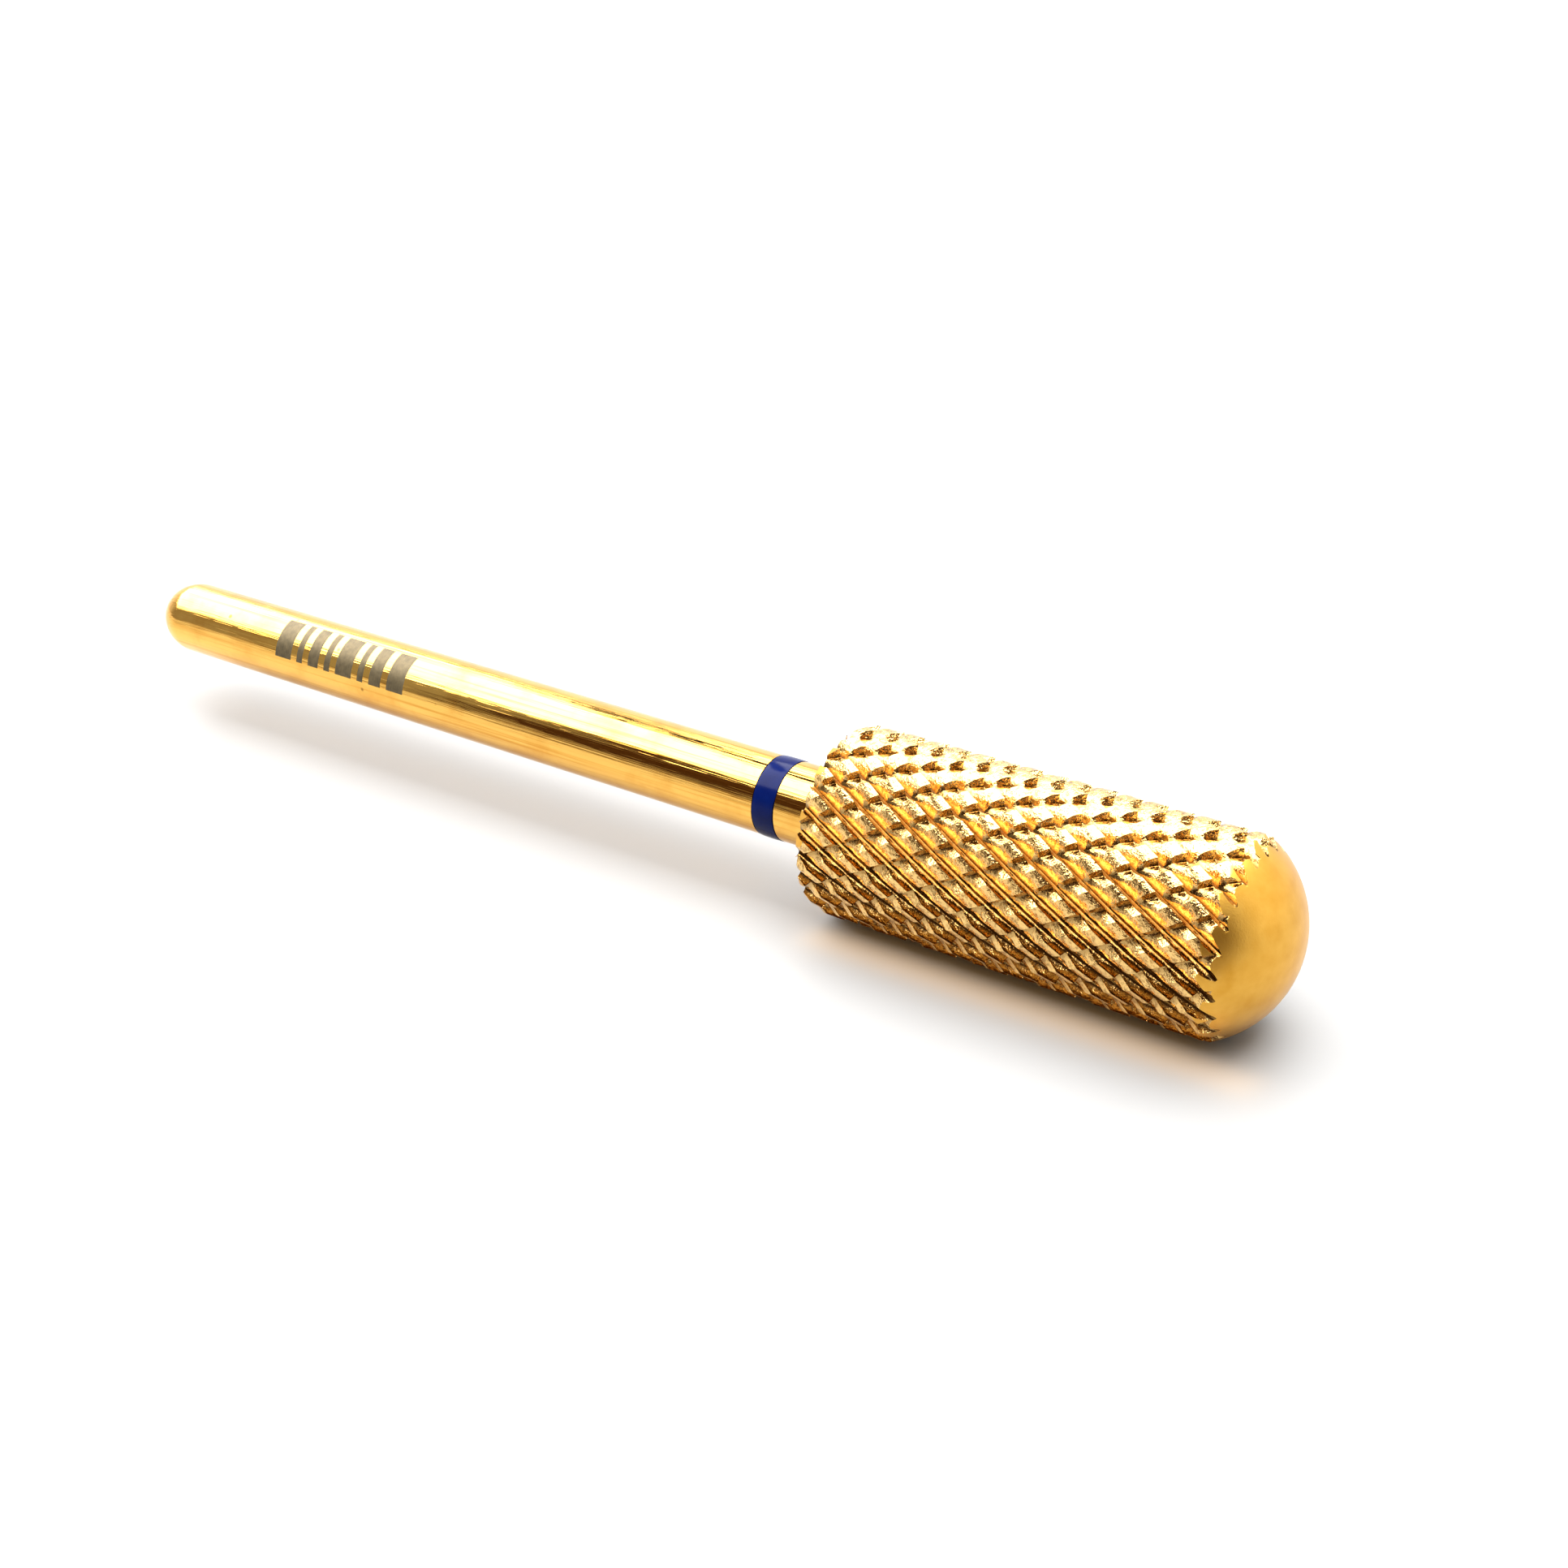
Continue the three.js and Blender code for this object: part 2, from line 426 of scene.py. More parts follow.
@dataclass(frozen=True)
class BakedEnamel:
    """Stoving enamel run into a groove: deep glossy blue, a little darker in places, with a soft ripple."""

    blue: str = "#05164E"
    deep: str = "#02062E"
    roughness: float = 0.16
    ior: float = 1.45
    specular: float = 0.1
    ripple: float = 0.5  # mm
    ripple_depth: float = 0.01

    def make(self) -> bpy.types.Material:
        """Builds the material.

        Returns:
            The material.
        """
        material, tree = new_material("baked_blue_enamel")
        place = add_node(tree, "ShaderNodeTexCoord")
        flow = add_node(tree, "ShaderNodeTexNoise", {"Scale": per_mm(self.ripple), "Detail": 3.0},
                        {"Vector": place.outputs["Object"]})
        tone = add_node(tree, "ShaderNodeMix",
                        {"data_type": "RGBA", 6: shade(self.blue), 7: shade(self.deep)},
                        {0: flow.outputs[0]})
        bump = add_node(tree, "ShaderNodeBump", {"Strength": 0.6, "Distance": self.ripple_depth * MM},
                        {"Height": flow.outputs[0]})
        paint = add_node(tree, "ShaderNodeBsdfPrincipled",
                         {"Roughness": self.roughness, "IOR": self.ior,
                          "Specular IOR Level": self.specular},
                         {"Base Color": tone.outputs[2], "Normal": bump.outputs[0]})
        close_material(tree, paint)
        return material


@dataclass(frozen=True)
class GroundCoatedCarbide:
    """Tungsten carbide with wheel-ground flutes under gold nitride.

    It gives the eye smooth flutes with painted shade, darker towards their floors for the shade that falls in
    them, and crackled lands with brown veins.
    """

    gold: str = "#F0C67C"
    # painted shade: the flute floors are darkened towards this colour, for the shade that falls in them
    deeper: str = "#6B4A1E"
    vein: str = "#7A4C16"
    roughness: float = 0.06
    crackle: float = 0.11  # mm; coarser than the real grain, which would not show
    crackle_depth: float = 0.035
    vein_share: float = 0.6
    # The painted shade in the flutes and the crackle come in between these two radii: the shade is full at the
    # first and gone at the second
    floor_radius: float = HEAD.radius - 0.33
    land_radius: float = HEAD.radius - 0.17

    def make(self) -> bpy.types.Material:
        """Builds the material.

        Returns:
            The material.
        """
        material, tree = new_material("gold_nitride_on_ground_carbide")
        place = add_node(tree, "ShaderNodeTexCoord")
        flute_shade_and_crackle_share = radius_share(tree, self.floor_radius, self.land_radius)
        grain = add_node(tree, "ShaderNodeTexNoise",
                         {"Scale": per_mm(self.crackle), "Detail": 2.5, "Roughness": 0.7},
                         {"Vector": place.outputs["Object"]})
        strength = add_node(tree, "ShaderNodeMapRange", {"To Min": 0.12, "To Max": 1.0},
                            {"Value": flute_shade_and_crackle_share.outputs[0]})
        bump = add_node(tree, "ShaderNodeBump", {"Distance": self.crackle_depth * MM},
                        {"Height": grain.outputs[0], "Strength": strength.outputs[0]})
        # Painted shade: darker towards the flute floors, for the shade that falls in them
        tone = add_node(tree, "ShaderNodeMix",
                        {"data_type": "RGBA", 6: shade(self.deeper), 7: shade(self.gold)},
                        {0: flute_shade_and_crackle_share.outputs[0]})
        cracks = add_node(tree, "ShaderNodeMapRange",
                          {"From Min": 0.5, "From Max": 0.38, "To Max": self.vein_share},
                          {"Value": grain.outputs[0]})
        veined = add_node(tree, "ShaderNodeMix", {"data_type": "RGBA", 7: shade(self.vein)},
                          {0: cracks.outputs[0], 6: tone.outputs[2]})
        metal = add_node(tree, "ShaderNodeBsdfPrincipled", {"Metallic": 1.0, "Roughness": self.roughness},
                         {"Base Color": veined.outputs[2], "Normal": bump.outputs[0]})
        close_material(tree, metal)
        return material


@dataclass(frozen=True)
class SatinCoatedCarbide:
    """Lapped and vapour-blasted carbide under gold nitride, as on a safety dome: an even satin gold."""

    gold: str = "#EBB856"
    deeper: str = "#CC9028"
    roughness: float = 0.33
    grain: float = 0.05  # mm; coarser than real blasting grit leaves, which would not show
    grain_depth: float = 0.006
    cloud: float = 0.5

    def make(self) -> bpy.types.Material:
        """Builds the material.

        Returns:
            The material.
        """
        material, tree = new_material("gold_nitride_on_satin_carbide")
        place = add_node(tree, "ShaderNodeTexCoord")
        cloud = add_node(tree, "ShaderNodeTexNoise", {"Scale": per_mm(self.cloud), "Detail": 4.0},
                         {"Vector": place.outputs["Object"]})
        grain = add_node(tree, "ShaderNodeTexNoise", {"Scale": per_mm(self.grain), "Detail": 2.0},
                         {"Vector": place.outputs["Object"]})
        bump = add_node(tree, "ShaderNodeBump", {"Strength": 0.5, "Distance": self.grain_depth * MM},
                        {"Height": grain.outputs[0]})
        tone = add_node(tree, "ShaderNodeMix",
                        {"data_type": "RGBA", 6: shade(self.gold), 7: shade(self.deeper)},
                        {0: cloud.outputs[0]})
        metal = add_node(tree, "ShaderNodeBsdfPrincipled", {"Metallic": 1.0, "Roughness": self.roughness},
                         {"Base Color": tone.outputs[2], "Normal": bump.outputs[0]})
        close_material(tree, metal)
        return material


@dataclass(frozen=True)
class SilverBraze:
    """Silver brazing alloy as it froze: dull, pale and slightly lumpy."""

    pale: str = "#C9B27A"
    dull: str = "#A8935F"
    roughness: float = 0.4
    lump: float = 0.3  # mm
    lump_depth: float = 0.02

    def make(self) -> bpy.types.Material:
        """Builds the material.

        Returns:
            The material.
        """
        material, tree = new_material("silver_brazing_alloy")
        place = add_node(tree, "ShaderNodeTexCoord")
        lumps = add_node(tree, "ShaderNodeTexNoise", {"Scale": per_mm(self.lump), "Detail": 3.0},
                         {"Vector": place.outputs["Object"]})
        tone = add_node(tree, "ShaderNodeMix",
                        {"data_type": "RGBA", 6: shade(self.pale), 7: shade(self.dull)},
                        {0: lumps.outputs[0]})
        bump = add_node(tree, "ShaderNodeBump", {"Strength": 0.5, "Distance": self.lump_depth * MM},
                        {"Height": lumps.outputs[0]})
        metal = add_node(tree, "ShaderNodeBsdfPrincipled", {"Metallic": 1.0, "Roughness": self.roughness},
                         {"Base Color": tone.outputs[2], "Normal": bump.outputs[0]})
        close_material(tree, metal)
        return material


@dataclass(frozen=True)
class WhiteCard:
    """Uncoated white card, as under a studio still life: matt, with a faint fibre and a soft sheen."""

    white: str = "#888888"  # kept low, because the panel over it is strong
    roughness: float = 0.45
    specular: float = 0.5
    fibre: float = 0.5  # mm
    fibre_depth: float = 0.02

    def make(self) -> bpy.types.Material:
        """Builds the material.

        Returns:
            The material.
        """
        material, tree = new_material("white_card")
        place = add_node(tree, "ShaderNodeTexCoord")
        fibres = add_node(tree, "ShaderNodeTexNoise", {"Scale": per_mm(self.fibre), "Detail": 3.0},
                          {"Vector": place.outputs["Object"]})
        bump = add_node(tree, "ShaderNodeBump", {"Strength": 0.2, "Distance": self.fibre_depth * MM},
                        {"Height": fibres.outputs[0]})
        card = add_node(tree, "ShaderNodeBsdfPrincipled",
                        {"Base Color": shade(self.white), "Roughness": self.roughness,
                         "Specular IOR Level": self.specular},
                        {"Normal": bump.outputs[0]})
        close_material(tree, card)
        return material


@dataclass(frozen=True)
class StudioFelt:
    """Dyed wool felt on the studio's screen and bar, and a painted floor shadow on the mat: it only gives the
    gold something dark and dull to mirror.
    """

    colour: str
    roughness: float = 0.9
    specular: float = 0.1

    def make(self) -> bpy.types.Material:
        """Builds the material.

        Returns:
            The material.
        """
        material, tree = new_material("studio_felt")
        felt = add_node(tree, "ShaderNodeBsdfPrincipled",
                        {"Base Color": shade(self.colour), "Roughness": self.roughness,
                         "Specular IOR Level": self.specular})
        close_material(tree, felt)
        return material


# The bit's pieces


@dataclass
class ShankPin:
    """Ground steel pin: rounded tail with a flat end face, groove for the ring, neck and hidden spigot.

    The laser mark is a plain row of bars of several widths, with no letters.
    """

    tail_face_radius: float = 0.73
    tail_rounding: float = 1.05
    tail_slant: float = math.radians(38)
    tail_steps: int = 12
    groove_depth: float = 0.12
    clearance: float = 0.02
    spigot_radius: float = 0.8
    steps: int = 120
    mark_start: float = 5.8
    mark_bars: tuple[float, ...] = (0.7, 0.25, 0.45, 0.25, 0.7, 0.25, 0.5, 0.7)
    mark_gap: float = 0.26
    mark_from: float = math.radians(104)
    mark_to: float = math.radians(172)

    def profile(self) -> list[tuple[float, float]]:
        """The pin's outline from the tail face to the spigot's end, with a cut at each bar's edges.

        Returns:
            Its (place, radius) points.
        """
        radius = SHANK.radius
        groove = (RING.start - self.clearance, RING.end + self.clearance)
        shoulder = HEAD.start - self.clearance
        outline = [(SHANK.start, 0.0)]
        outline += arc((SHANK.start, self.tail_face_radius), (self.tail_rounding, radius),
                       self.tail_slant, self.tail_steps)
        outline += [(edge, radius) for bar in self.bars() for edge in bar]
        outline += [(groove[0], radius), (groove[0], radius - self.groove_depth)]
        outline += [(groove[1], radius - self.groove_depth), (groove[1], radius)]
        outline += [(shoulder, radius), (shoulder, self.spigot_radius)]
        outline += [(SHANK.end, self.spigot_radius), (SHANK.end, 0.0)]
        return outline

    def bars(self) -> list[tuple[float, float]]:
        """Places the bars of the mark along the shank.

        Returns:
            Each bar's start and end.
        """
        places, start = [], self.mark_start
        for width in self.mark_bars:
            places.append((start, start + width))
            start += width + self.mark_gap
        return places

    def build(self) -> bpy.types.Object:
        """Models and dresses the pin.

        Returns:
            The finished piece.
        """
        piece = turn("shank_pin", self.profile(), self.steps)
        piece.data.materials.append(PolishedCoatedSteel().make())
        piece.data.materials.append(LaserDarkenedSteel().make())
        for face in piece.data.polygons:
            face.material_index = int(self.is_marked(face.center))
        hand_over(piece, Slot.STEEL, "shank")
        return piece

    def is_marked(self, place: Vector) -> bool:
        """Whether a face belongs to a bar of the mark.

        Args:
            place: the face's centre.

        Returns:
            True on a bar.
        """
        angle = math.atan2(place.z, place.y)
        on_bar = any(start < place.x < end for start, end in self.bars())
        return on_bar and self.mark_from < angle < self.mark_to


@dataclass
class ColourRing:
    """Enamel ring: it fills the groove, crowns slightly, and its edges wander as a painted line does."""

    groove_depth: float = 0.12
    clearance: float = 0.02
    crown: float = 0.012
    wander: float = 0.016
    inset: float = 0.6  # how far in the edges lie on average, in waves of full height
    # The edges' waves: (waves round the ring, height, shift from one edge to the other)
    waves: tuple[tuple[int, float, int], ...] = ((3, 1.0, 1), (7, 0.6, 2), (17, 0.4, 0))
    crown_steps: int = 8
    steps: int = 120

    def build(self) -> bpy.types.Object:
        """Models and dresses the ring.

        Returns:
            The finished piece.
        """
        inner = SHANK.radius - self.groove_depth + self.clearance
        edge = RING.radius - self.crown
        width = RING.end - RING.start
        crown = [(RING.start + width * share, edge + self.crown * math.sin(math.pi * share) ** 0.5)
                 for share in (i / self.crown_steps for i in range(self.crown_steps + 1))]
        piece = turn("colour_ring", [(RING.start, inner), *crown, (RING.end, inner), (RING.start, inner)],
                     self.steps)
        middle = (RING.start + RING.end) / 2
        for vertex in piece.data.vertices:
            angle = math.atan2(vertex.co.z, vertex.co.y)
            side = 1 if vertex.co.x > middle else -1
            wave = sum(height * math.sin(count * angle + shift * side) for count, height, shift in self.waves)
            share = abs(vertex.co.x - middle) / (width / 2)
            vertex.co.x += side * self.wander * share * (wave / 2 - self.inset)
        piece.data.materials.append(BakedEnamel().make())
        hand_over(piece, Slot.ENAMEL, "grit_band")
        return piece


@dataclass
class ToothLattice:
    """Two families of helical grooves that cross: right-hand flutes and left-hand chip breakers.

    The teeth are laid out flat, as if the head's skin were unrolled: X runs along the bit, Z down round it, and
    a tooth stands out towards -Y. Wrapped round the axis, Y = 0 comes to the tooth tips' radius.
    """

    flutes: int = 24
    cross_cuts: int = 16
    flute_lead: float = 30.0
    cross_lead: float = 27.6
    first_cross_cut: float = 2.9
    depth: float = 0.33
    cross_depth: float = 0.26
    # From one flute to the next: (share of the pitch, share of the depth below the tips)
    section: tuple[tuple[float, float], ...] = (
        (0.0, 1.0), (0.08, 0.92), (0.13, 0.68), (0.135, 0.4), (0.11, 0.15), (0.04, 0.0),
        (0.2, 0.02), (0.38, 0.12), (0.55, 0.3), (0.72, 0.58), (0.88, 0.88), (1.0, 1.0))
    # Where the crest of the section leans over, and the shares those corners move to once they are cut down
    flattened: tuple[tuple[int, float], ...] = ((3, 0.145), (4, 0.155), (5, 0.165))
    # From one cross cut to the next, as shares of the tooth's length: floor, wall, crest, crest, wall
    floor_end: float = 0.06
    rise_end: float = 0.42
    fall_start: float = 0.92

    @property
    def per_turn(self) -> float:
        """Crossings of the two families per millimetre of one groove."""
        return 1 / self.flute_lead + 1 / self.cross_lead

    def ridge_step(self) -> Vector:
        """From one tooth to the next along its ridge, on the flat."""
        along = 1 / (self.cross_cuts * self.per_turn)
        return Vector((along, 0, -HEAD.radius * math.tau * along / self.flute_lead))

    def flute_step(self) -> Vector:
        """From one ridge to the next along a cross cut, on the flat."""
        along = 1 / (self.flutes * self.per_turn)
        return Vector((-along, 0, -HEAD.radius * math.tau * along / self.cross_lead))

    def first_corner(self) -> Vector:
        """Finds the crossing of the first flute and the first cross cut.

        Returns:
            Its place on the flat.
        """
        along = self.first_cross_cut / 360 / self.per_turn
        angle = math.tau * along / self.flute_lead
        return Vector((HEAD.start + along, 0, HEAD.radius * (math.pi - angle)))


@dataclass
class CutterHead:
    """Carbide head: a rod of teeth kept only inside a blank, which has a chamfered rim, a dome and a socket."""

    lattice: ToothLattice = field(default_factory=ToothLattice)
    overrun: float = 0.6
    dome_height: float = 1.64
    chamfer_length: float = 0.3
    chamfer_depth: float = 0.16
    blank_allowance: float = 0.05
    clearance: float = 0.02
    dome_steps: int = 28
    steps: int = 160

    def tooth(self) -> bpy.types.Object:
        """Models one tooth on the flat.

        Returns:
            A sheet from flute to flute and from cross cut to cross cut.
        """
        lattice = self.lattice
        across, along = lattice.flute_step(), lattice.ridge_step()
        down = Vector((0, lattice.depth, 0))
        piece = draw_outline("tooth", [across * share + down * drop for share, drop in lattice.section])
        stations = (0.0, lattice.floor_end, lattice.rise_end, lattice.fall_start, 1.0)
        for before, after in zip(stations, stations[1:]):
            bpy.ops.mesh.extrude_region_move(TRANSFORM_OT_translate={"value": along * (after - before)})
        bpy.ops.object.mode_set(mode="OBJECT")
        self.sink_ends(piece)
        return piece

    def sink_ends(self, piece: bpy.types.Object) -> None:
        """Cuts the tooth's two ends down to the cross cut's floor.

        Args:
            piece: the tooth's sheet.
        """
        lattice = self.lattice
        across, along = lattice.flute_step(), lattice.ridge_step()
        turned_back = across.x * along.z - across.z * along.x

        def shares(place: Vector) -> tuple[float, float]:
            """Measures how far a corner lies from the tooth's first corner.

            Args:
                place: the corner.

            Returns:
                Its shares of the flute step and of the ridge step.
            """
            flute = (place.x * along.z - place.z * along.x) / turned_back
            ridge = (across.x * place.z - across.z * place.x) / turned_back
            return flute, ridge

        limit = lattice.floor_end + NEAR
        ends = {v.index for v in piece.data.vertices if not limit < shares(v.co)[1] < 1 - NEAR}
        for number, share in lattice.flattened:
            before, drop = lattice.section[number]
            column = {v.index for v in piece.data.vertices
                      if v.index in ends and abs(shares(v.co)[0] - before) < NEAR
                      and abs(v.co.y - drop * lattice.depth) < NEAR}
            select_corners(piece, column)
            bpy.ops.transform.translate(value=across * (share - before))
            bpy.ops.object.mode_set(mode="OBJECT")
        high = {v.index for v in piece.data.vertices if v.index in ends and v.co.y < lattice.cross_depth}
        select_corners(piece, high)
        bpy.ops.transform.resize(value=(1, 0, 1), center_override=(0, lattice.cross_depth, 0))
        bpy.ops.object.mode_set(mode="OBJECT")

    def rod(self) -> bpy.types.Object:
        """Copies the tooth over the flat, wraps the sheet round the axis and closes its ends.

        Returns:
            A closed rod of teeth that runs past the head at both ends.
        """
        lattice = self.lattice
        across, along = lattice.flute_step(), lattice.ridge_step()
        sectors = math.gcd(lattice.flutes, lattice.cross_cuts)
        flutes, cuts = lattice.flutes // sectors, lattice.cross_cuts // sectors
        lead_in = math.ceil(self.overrun / along.x) + 1
        length = HEAD.end - HEAD.start + 2 * self.overrun
        count = math.ceil((length - flutes * across.x) / along.x) + cuts + lead_in
        piece = self.tooth()
        for step, copies in ((along, count), (across, flutes), (across * flutes + along * cuts, sectors)):
            modify(piece, "ARRAY", use_relative_offset=False, use_constant_offset=True,
                   constant_offset_displace=step, count=copies, use_merge_vertices=True,
                   merge_threshold=SEAM_GAP)
        pick(piece)
        piece.location = lattice.first_corner() - along * lead_in
        bpy.ops.object.transform_apply(location=True, rotation=False, scale=False)
        places = [v.co.z for v in piece.data.vertices]
        modify(piece, "SIMPLE_DEFORM", deform_method="BEND", deform_axis="X",
               angle=(max(places) - min(places)) / HEAD.radius)
        pick(piece)
        piece.location = (0, -HEAD.radius, 0)
        bpy.ops.object.transform_apply(location=True, rotation=False, scale=False)
        bpy.ops.object.mode_set(mode="EDIT")
        bpy.ops.mesh.select_all(action="SELECT")
        bpy.ops.mesh.remove_doubles(threshold=SEAM_GAP)
        for place, side in ((HEAD.start - self.overrun, 1), (HEAD.end + self.overrun, -1)):
            bpy.ops.mesh.select_all(action="SELECT")
            bpy.ops.mesh.bisect(plane_co=(place, 0, 0), plane_no=(-side, 0, 0), use_fill=True,
                                clear_outer=True, threshold=SEAM_GAP / 4)
        bpy.ops.mesh.select_all(action="SELECT")
        bpy.ops.mesh.normals_make_consistent(inside=False)
        bpy.ops.object.mode_set(mode="OBJECT")
        return piece

    def blank(self) -> bpy.types.Object:
        """Turns the blank, whose barrel stands just outside the tooth tips.

        Returns:
            The closed blank.
        """
        barrel = HEAD.radius + self.blank_allowance
        ball = (HEAD.radius ** 2 + self.dome_height ** 2) / (2 * self.dome_height)
        centre = HEAD.end - ball
        slope = self.chamfer_length / self.chamfer_depth
        first = math.acos(min(1.0, barrel / ball))
        angles = [first + (math.pi / 2 - first) * i / self.dome_steps for i in range(self.dome_steps)]
        socket = BRAZE.radius + self.clearance
        return turn("head_blank", [
            (BRAZE.end + self.clearance, 0.0),
            (BRAZE.end + self.clearance, socket),
            (HEAD.start, socket),
            (HEAD.start, HEAD.radius - self.chamfer_depth),
            (HEAD.start + self.chamfer_length + self.blank_allowance * slope, barrel),
            *[(centre + ball * math.sin(a), ball * math.cos(a)) for a in angles],
            (HEAD.end, 0.0),
        ], self.steps)

    def build(self) -> bpy.types.Object:
        """Models and dresses the head.

        Returns:
            The finished piece.
        """
        ground, satin = GroundCoatedCarbide().make(), SatinCoatedCarbide().make()
        rod, blank = self.rod(), self.blank()
        for piece, own in ((rod, 0), (blank, 1)):
            for material in (ground, satin):
                piece.data.materials.append(material)
            for face in piece.data.polygons:
                face.material_index = own
        modify(rod, "BOOLEAN", operation="INTERSECT", object=blank, solver="EXACT")
        bpy.data.objects.remove(blank)
        rod.name = rod.data.name = "toothed_head"
        hand_over(rod, Slot.CARBIDE, "cutter_head")
        return rod


@dataclass
class BrazeCup:
    """Cup of brazing alloy between spigot and socket, hidden in the head; its CAD shape stays."""

    node: str = "braze_joint"

    def build(self) -> bpy.types.Object:
        """Dresses the cup.

        Returns:
            The CAD node's object.
        """
        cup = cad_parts[self.node]
        material = SilverBraze().make()
        for own in cup.material_slots:
            own.material = material
        return cup


# The studio


@dataclass
class Studio:
    """Pale floor in a room that is bright beyond the bit, with all that the polished gold mirrors.

    A big soft panel with a dark cross bar hangs overhead. A dark curved screen stands on the lens's side, and a
    dim mat lies there as a painted shadow, for the shade that falls on the floor before the lens. Two amber
    strips beside the bit stand in for the glow that gold throws on a white floor.
    Lengths are in millimetres.
    """

    floor_size: float = 3000.0
    # The panel's edges and the bar's two ends are in panel heights from the tail, so they read as slopes
    panel_height: float = 300.0
    panel_near: float = -0.95
    panel_far: float = 1.0
    panel_left: float = -1.9
    panel_right: float = 0.6
    panel_radiance: float = 7.5
    bar_start: tuple[float, float] = (-0.47, 0.13)
    bar_end: tuple[float, float] = (-1.0, 0.85)
    bar_width: float = 55.0
    bar_drop: float = 8.0
    bar_felt: str = "#271F16"
    # The strips: each has its place across the bit, its height from the axis and its radiance
    strip_colour: str = "#FFBF59"
    strip_width: float = 1.0
    head_bounce: tuple[float, float, float] = (-2.1, -2.25, 1.7)
    shank_bounce: tuple[float, float, float] = (-0.6, -1.5, 0.9)
    # The screen and the mat: from and to in degrees round a centre on the axis, counted from -Y towards +X;
    # low and high as elevations in degrees
    screen_distance: float = 200.0
    screen_centre: float = 20.0
    screen_from: float = -42.0
    screen_to: float = 75.0
    screen_low: float = 3.0
    screen_high: float = 35.0
    screen_felt: str = "#301F12"
    screen_steps: int = 32
    # The mat is a painted shadow: a dark sheet on the floor before the lens, for the shade that falls there;
    # only the gold mirrors it
    mat_start: float = 26.0
    mat_lift: float = 0.2
    painted_shadow_felt: str = "#554D45"
    # The room's radiance rises from dim to bright between two values of the direction's Y
    room_colour: str = "#FFFEFC"
    room_dim: float = 0.4
    room_bright: float = 1.45
    room_dim_until: float = -0.45
    room_bright_from: float = 0.25
    # The camera: its place and its focal length in millimetres, and its direction in degrees
    eye: tuple[float, float, float] = (55.24, -44.11, 27.09)
    azimuth: float = 34.37
    elevation: float = 26.5
    lens: float = 48.45

    def build(self) -> None:
        """Builds the floor, the lights and the camera."""
        self.lay_floor()
        self.light()
        self.hang_screens()
        self.hang_bar()
        self.aim_camera()

    def lay_floor(self) -> None:
        """Lays the floor that the head rests on."""
        start_fresh()
        bpy.ops.mesh.primitive_plane_add(size=self.floor_size * MM, location=(0, 0, -HEAD.radius * MM))
        floor = bpy.context.object
        floor.name = "floor"
        floor.data.materials.append(WhiteCard().make())

    def light(self) -> None:
        """Hangs the panel and the strips, and sets the room: bright beyond the bit, dim behind the lens."""
        height = self.panel_height * MM
        width = (self.panel_right - self.panel_left) * height
        depth = (self.panel_far - self.panel_near) * height
        panel = bpy.data.lights.new("overhead_panel", "AREA")
        panel.shape, panel.size, panel.size_y = "RECTANGLE", width, depth
        panel.energy = self.panel_radiance * math.pi * width * depth
        hung = bpy.data.objects.new("overhead_panel", panel)
        hung.location = ((self.panel_left + self.panel_right) / 2 * height,
                         (self.panel_near + self.panel_far) / 2 * height, height)
        bpy.context.scene.collection.objects.link(hung)
        self.warm_floor("head_glow", HEAD.start, HEAD.end, self.head_bounce)
        self.warm_floor("shank_glow", SHANK.start, RING.start, self.shank_bounce)
        world = bpy.context.scene.world = bpy.data.worlds.new("room")
        world.use_nodes = True
        tree = world.node_tree
        tree.nodes.clear()
        place = add_node(tree, "ShaderNodeTexCoord")
        parts = add_node(tree, "ShaderNodeSeparateXYZ", links={0: place.outputs["Generated"]})
        share = add_node(tree, "ShaderNodeMapRange",
                         {"From Min": self.room_dim_until, "From Max": self.room_bright_from,
                          "To Min": self.room_dim, "To Max": self.room_bright},
                         {"Value": parts.outputs["Y"]})
        room = add_node(tree, "ShaderNodeBackground", {"Color": shade(self.room_colour)},
                        {"Strength": share.outputs[0]})
        add_node(tree, "ShaderNodeOutputWorld", links={0: room.outputs[0]})

    def warm_floor(self, name: str, start: float, end: float, bounce: tuple[float, float, float]) -> None:
        """Puts a low amber strip light beside the bit, for the glow that gold throws on a white floor.

        Args:
            name: the light's name.
            start: where it starts along the bit, in millimetres.
            end: where it ends.
            bounce: its place across the bit, its height and its radiance.
        """
        across, height, radiance = bounce
        strip = bpy.data.lights.new(name, "AREA")
        strip.shape, strip.size, strip.size_y = "RECTANGLE", (end - start) * MM, self.strip_width * MM
        strip.energy = radiance * math.pi * strip.size * strip.size_y
        strip.color = shade(self.strip_colour)[:3]
        laid = bpy.data.objects.new(name, strip)
        laid.location = ((start + end) / 2 * MM, across * MM, height * MM)
        laid.visible_camera = laid.visible_glossy = False
        bpy.context.scene.collection.objects.link(laid)

    def stand_screen(self, name: str, outline: list[tuple[float, float]], colour: str) -> None:
        """Stands or lays a dark curved piece behind the lens, which the polished gold mirrors.

        Args:
            name: the piece's name.
            outline: (distance from the screens' centre, height) points, in millimetres.
            colour: its felt's colour, as #RRGGBB.
        """
        first = math.radians(self.screen_from)
        away = Vector((math.sin(first), -math.cos(first), 0))
        centre = Vector((self.screen_centre, 0, 0))
        piece = draw_outline(name, [centre + away * reach + Vector((0, 0, z)) for reach, z in outline])
        # With no window, a part turn goes the other way round, so the angle is negative
        bpy.ops.mesh.spin(steps=self.screen_steps, angle=math.radians(self.screen_from - self.screen_to),
                          center=centre, axis=Axis.Z.value)
        bpy.ops.object.mode_set(mode="OBJECT")
        self.dim(piece, colour)

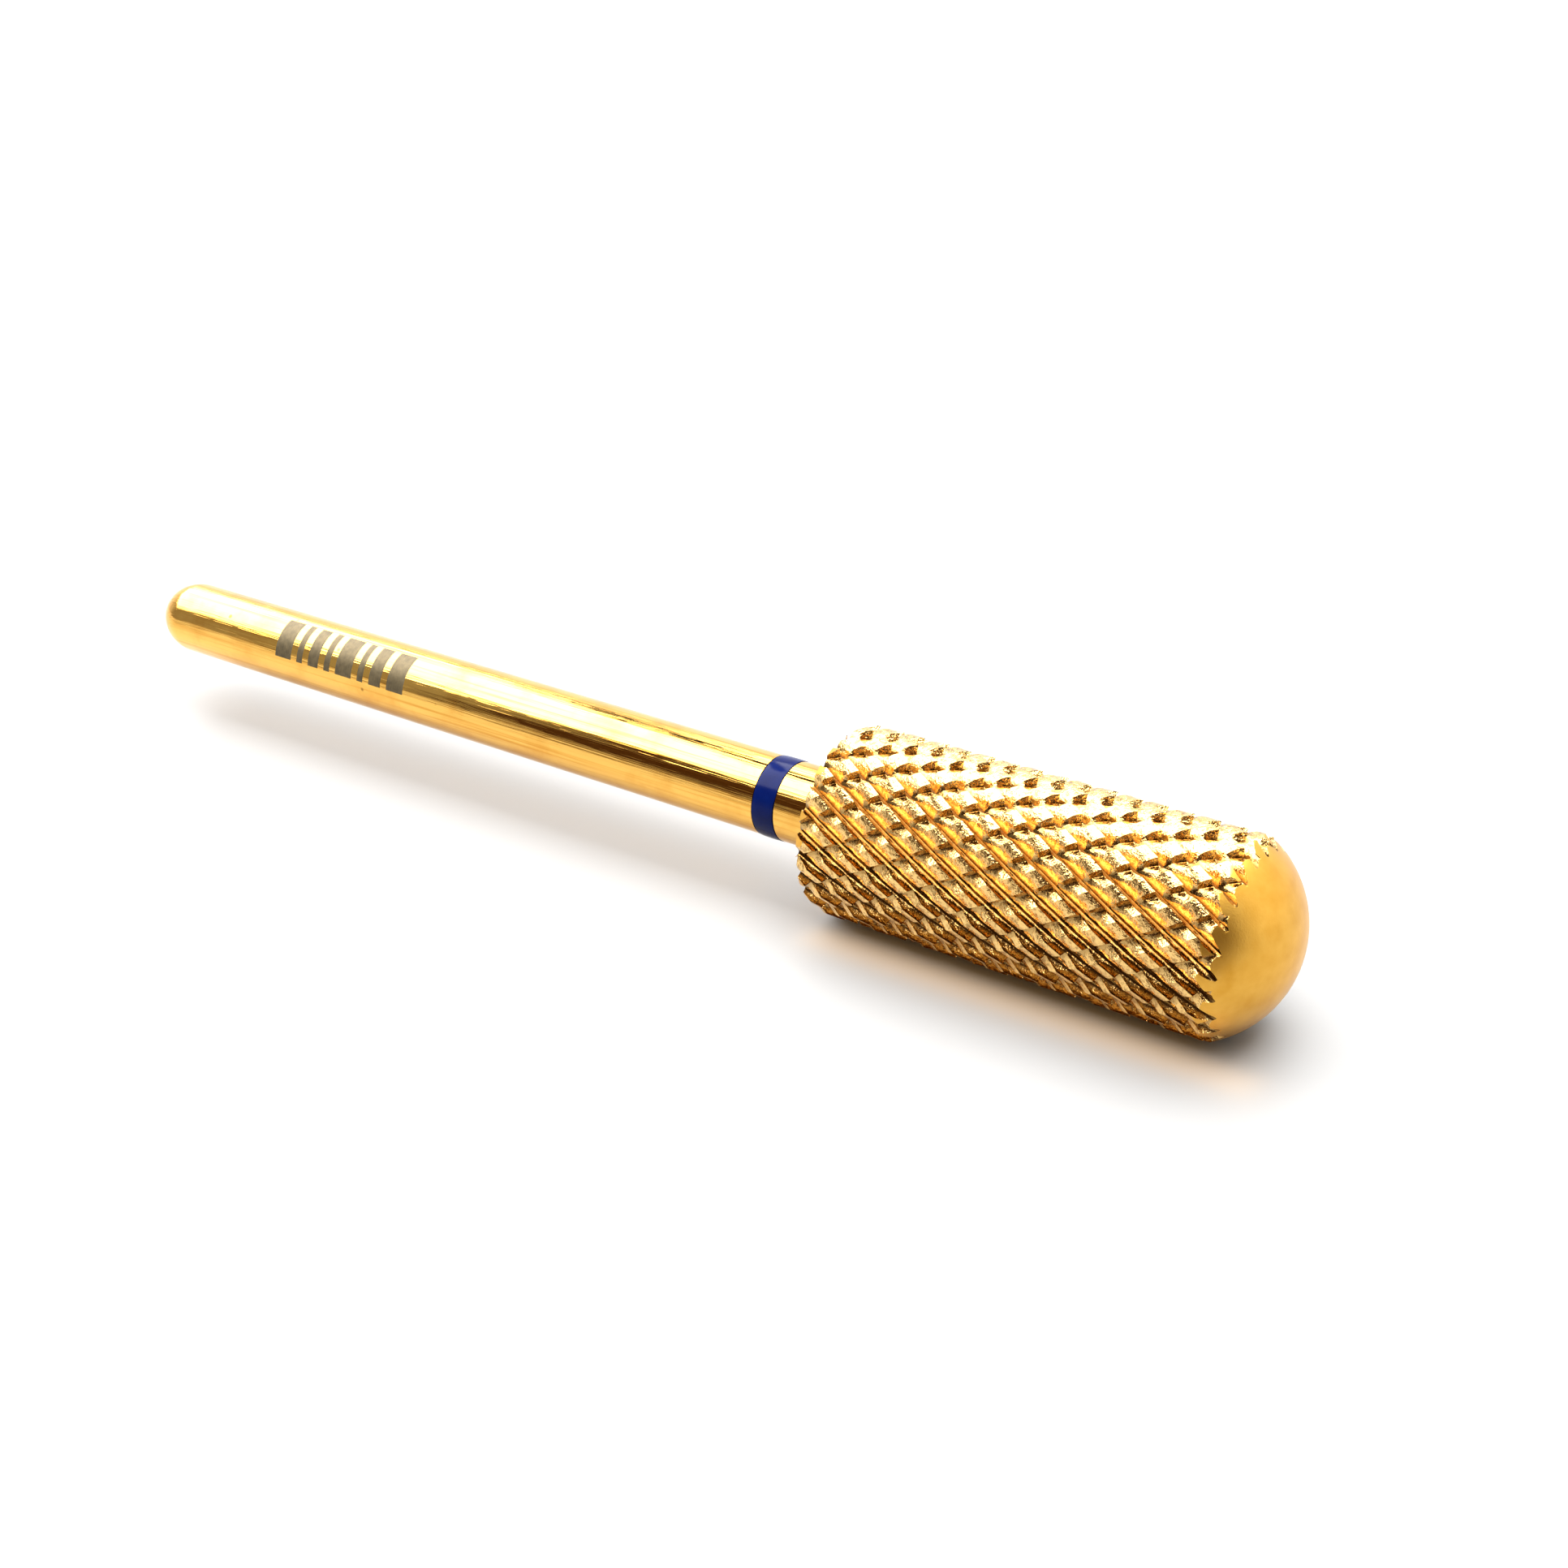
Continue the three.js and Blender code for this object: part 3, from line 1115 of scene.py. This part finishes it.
    def hang_screens(self) -> None:
        """Sets up the dark screen that gives the gold its dark bands, and before it the dim mat, a painted
        shadow for the shade on the floor before the lens.
        """
        reach = self.screen_distance
        low, high = (reach * math.tan(math.radians(e)) for e in (self.screen_low, self.screen_high))
        self.stand_screen("dark_screen", [(reach, low), (reach, high)], self.screen_felt)
        # Painted shadow: the mat darkens what the gold mirrors of the floor before the lens
        height = self.mat_lift - HEAD.radius
        self.stand_screen("painted_floor_shadow_mat", [(self.mat_start, height), (reach, height)], self.painted_shadow_felt)

    def hang_bar(self) -> None:
        """Hangs the panel's dark cross bar, which the shank mirrors as a thin line along its upper side."""
        start, end = (Vector((*point, 0)) * self.panel_height for point in (self.bar_start, self.bar_end))
        along = end - start
        side = along.cross(Vector(Axis.Z.value)).normalized() * self.bar_width
        up = Vector((0, 0, self.panel_height - self.bar_drop))
        bar = draw_outline("panel_bar", [start + up, end + up])
        bpy.ops.mesh.extrude_region_move(TRANSFORM_OT_translate={"value": side})
        bpy.ops.object.mode_set(mode="OBJECT")
        self.dim(bar, self.bar_felt)

    def dim(self, piece: bpy.types.Object, colour: str) -> None:
        """Brings a dark piece of the studio to metres, hides it from the lens and covers it in felt.

        Args:
            piece: the piece, modelled in millimetres.
            colour: its felt's colour, as #RRGGBB.
        """
        pick(piece)
        piece.scale = (MM, MM, MM)
        bpy.ops.object.transform_apply(location=True, rotation=True, scale=True)
        piece.visible_camera = False
        piece.visible_shadow = False
        piece.visible_diffuse = False
        piece.data.materials.append(StudioFelt(colour).make())

    def aim_camera(self) -> None:
        """Sets the camera up."""
        data = bpy.data.cameras.new("camera")
        data.lens = self.lens
        data.clip_start = MM
        camera = bpy.data.objects.new("camera", data)
        camera.location = Vector(self.eye) * MM
        camera.rotation_euler = (math.radians(90 - self.elevation), 0.0, math.radians(self.azimuth))
        bpy.context.scene.collection.objects.link(camera)
        bpy.context.scene.camera = camera
        bpy.context.scene.view_settings.view_transform = "Standard"


def main() -> None:
    """Builds the studio and the bit's pieces in order, and reports each piece with its count of faces."""
    logging.basicConfig(level=logging.INFO, format="%(name)s: %(message)s")
    Studio().build()
    for maker in (ShankPin(), ColourRing(), CutterHead(), BrazeCup()):
        piece = maker.build()
        log.info("%s: %d faces", piece.name, len(piece.data.polygons))


if __name__ == "__main__":
    main()
